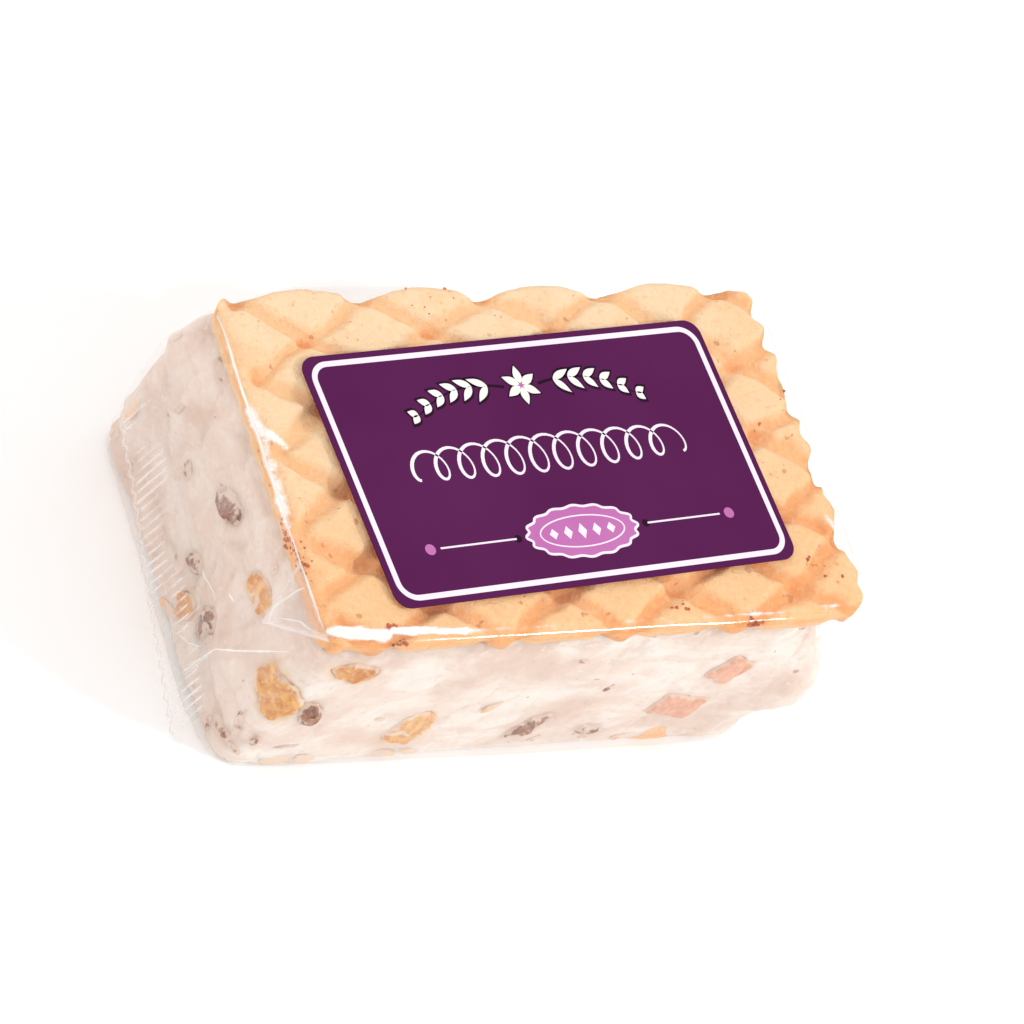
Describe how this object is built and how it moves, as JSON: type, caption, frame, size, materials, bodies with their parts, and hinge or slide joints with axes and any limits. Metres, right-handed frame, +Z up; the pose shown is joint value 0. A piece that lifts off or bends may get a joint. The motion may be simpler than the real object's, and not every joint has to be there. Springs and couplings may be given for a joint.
{
  "type": "wrapped nougat candy block",
  "caption": "Block of white nougat with raisins, candied peel and jelly between two waffle-embossed wafers, wrapped in clear film with folded end seals and a bordered label.",
  "frame": {"origin": "bottom centre of the wrapped block's box, on the surface it lies on", "axes": "+X along the block, away from the end whose folded seal the picture shows; -Y out of the long side the picture shows; +Z up through the label"},
  "size_m": [0.0996, 0.0602, 0.0389],
  "materials": {
    "nougat": "soft matt",
    "wafer": "dry matt",
    "raisin": "satin",
    "peel": "satin",
    "jelly": "satin",
    "film": "glossy clear",
    "label": "satin print"
  },
  "bodies": {
    "root": {"nougat": "nougat", "wafer_top": "wafer", "wafer_bottom": "wafer", "raisin_front_1": "raisin", "raisin_front_2": "raisin", "raisin_front_3": "raisin", "raisin_front_4": "raisin", "peel_front_1": "peel", "peel_front_2": "peel", "peel_front_3": "peel", "jelly_front_1": "jelly", "jelly_front_2": "jelly", "raisin_left_1": "raisin", "raisin_left_2": "raisin", "raisin_left_3": "raisin", "raisin_left_4": "raisin", "peel_left_1": "peel", "peel_left_2": "peel", "raisin_right_1": "raisin", "raisin_right_2": "raisin", "peel_right_1": "peel", "jelly_right_1": "jelly", "raisin_back_1": "raisin", "raisin_back_2": "raisin", "raisin_back_3": "raisin", "peel_back_1": "peel", "peel_back_2": "peel", "jelly_back_1": "jelly", "jelly_back_2": "jelly", "film": "film", "label": "label"}
  },
  "joints": []
}
